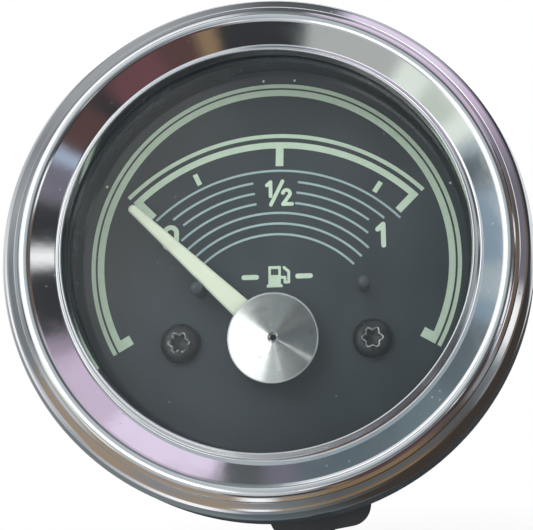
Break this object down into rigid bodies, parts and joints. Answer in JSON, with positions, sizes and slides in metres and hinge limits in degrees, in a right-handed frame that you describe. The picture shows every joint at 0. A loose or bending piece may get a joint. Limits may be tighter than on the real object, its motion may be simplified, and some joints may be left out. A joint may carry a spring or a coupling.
{
  "type": "fuel gauge",
  "caption": "Round dashboard fuel gauge with chrome bezel, black dial, pointer under a turned cap, crossed-coil movement, lamp, blade terminals and a clamp bracket on studs.",
  "frame": {"origin": "on the can's axis, in the plane of the panel gasket's rear face, where the gauge seats on the panel", "axes": "+Y runs rearwards along the can's axis, into the panel; the dial faces -Y; +Z points to the top of the dial; +X to the right of the dial as it is read"},
  "size_m": [0.0616, 0.0595, 0.0684],
  "materials": {
    "chrome": "bright plated, mirror polish",
    "clear_glass": "clear, polished",
    "bulb_glass": "clear, thin",
    "black_rubber": "matt, moulded",
    "black_plastic": "satin, moulded",
    "dial_black": "matt black paint, slightly dusty",
    "dial_print": "pale green screen print",
    "fine_print": "pale blue-grey screen print",
    "black_screw": "blackened steel",
    "pointer_paint": "pale cream-green paint, satin",
    "turned_aluminium": "face turned, bright",
    "plain_steel": "zinc plated, satin",
    "can_steel": "zinc plated pressing",
    "yellow_brass": "turned, slightly dull",
    "tinned_brass": "tinned, satin",
    "ferrite": "sintered, dark grey",
    "copper_winding": "enamelled copper wire",
    "former_plastic": "natural moulded",
    "brown_laminate": "laminated board",
    "red_sleeve": "insulating sleeve",
    "resistor_body": "lacquered",
    "black_paint": "black paint, satin"
  },
  "bodies": {
    "case": {"bezel": "chrome", "front_glass": "clear_glass", "glass_seal": "black_rubber", "shade_ring": "black_plastic", "panel_gasket": "black_rubber", "gauge_can": "can_steel", "dial_plate": "dial_black", "dial_outer_arcs": "dial_print", "dial_scale": "dial_print", "dial_fine_lines": "fine_print", "dial_numbers": "dial_print", "dial_pump_mark": "dial_print", "dial_screws": "black_screw", "stop_pins": "black_plastic", "former_front": "former_plastic", "former_rear": "former_plastic", "inner_coil": "copper_winding", "outer_coil": "copper_winding", "front_bearing": "yellow_brass", "rear_bearing": "yellow_brass", "zero_magnet": "ferrite", "magnetic_shield": "plain_steel", "movement_plate": "plain_steel", "dial_pillars": "yellow_brass", "plate_posts": "plain_steel", "case_screws": "plain_steel", "circuit_board": "brown_laminate", "coil_pins": "tinned_brass", "ballast_resistor": "resistor_body", "link_wires": "red_sleeve", "terminal_insulator": "brown_laminate", "inner_insulator": "brown_laminate", "terminal_blades": "tinned_brass", "terminal_rivets": "tinned_brass", "mounting_studs": "plain_steel"},
    "pointer": {"pointer_blade": "pointer_paint", "pointer_hub": "turned_aluminium", "pointer_cap": "turned_aluminium", "pointer_spindle": "plain_steel", "pointer_counterweight": "yellow_brass", "rotor_magnet": "ferrite"},
    "clamp": {"clamp_bracket": "black_paint", "lock_washers": "plain_steel"},
    "nut_upper": {"knurled_nut_upper": "yellow_brass"},
    "nut_lower": {"knurled_nut_lower": "yellow_brass"},
    "lamp": {"lamp_holder": "tinned_brass", "holder_insulator": "brown_laminate", "holder_contact": "yellow_brass", "bulb_cap": "yellow_brass", "bulb_contact": "tinned_brass", "bulb_glass": "bulb_glass", "bulb_filament": "plain_steel"}
  },
  "joints": [
    {"name": "pointer_sweep", "type": "hinge", "parent": "case", "child": "pointer", "pos_m": [0, 0, -0.01], "axis": [0, 1, 0], "range_deg": [0, 97.1], "stiffness_Nm_per_rad": 0.000005},
    {"name": "clamp_slide", "type": "slide", "parent": "case", "child": "clamp", "axis": [0, 1, 0], "range_m": [0, 0.006]},
    {"name": "nut_upper_spin", "type": "hinge", "parent": "clamp", "child": "nut_upper", "pos_m": [-0.00235, 0.041, 0.01482], "axis": [0, 1, 0], "range_deg": [0, 3085.71]},
    {"name": "nut_lower_spin", "type": "hinge", "parent": "clamp", "child": "nut_lower", "pos_m": [0.00235, 0.041, -0.01482], "axis": [0, 1, 0], "range_deg": [0, 3085.71]},
    {"name": "lamp_pull", "type": "slide", "parent": "case", "child": "lamp", "axis": [0, 1, 0], "range_m": [0, 0.026]}
  ],
  "couplings": [
    {"joint": "nut_upper_spin", "follows": "clamp_slide", "rad_per_m": 8976},
    {"joint": "nut_lower_spin", "follows": "clamp_slide", "rad_per_m": 8976}
  ]
}
